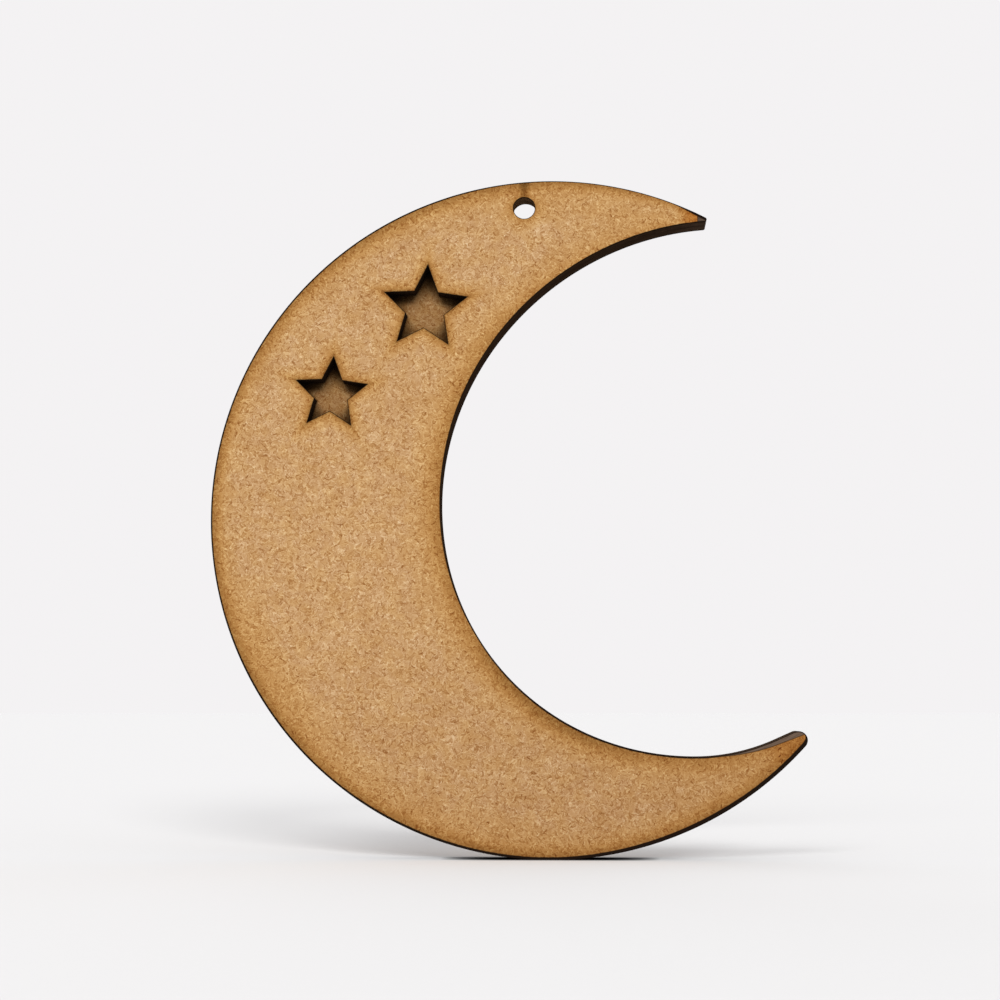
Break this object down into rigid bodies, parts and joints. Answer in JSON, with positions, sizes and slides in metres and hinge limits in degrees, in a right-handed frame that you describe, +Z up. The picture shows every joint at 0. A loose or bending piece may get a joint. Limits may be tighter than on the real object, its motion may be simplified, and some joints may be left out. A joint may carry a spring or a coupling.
{
  "type": "crescent ornament",
  "caption": "Flat laser-cut crescent moon ornament in wood fibreboard, with blind star recesses and a round hanging hole.",
  "frame": {"origin": "on the ground, under the middle of the ornament's box as it stands on its rim", "axes": "+Z up, as it stands and hangs; +Y from the face with the stars through to the plain back; +X to the right as seen from the front, towards the horns"},
  "size_m": [0.0874, 0.006, 0.1],
  "materials": {
    "front_board": "raw fibreboard with charred cut edges",
    "wood_glue": "dried wood glue",
    "back_board": "raw fibreboard with charred cut edges"
  },
  "bodies": {
    "root": {"front_layer": "front_board", "glue_film": "wood_glue", "back_layer": "back_board"}
  },
  "joints": []
}
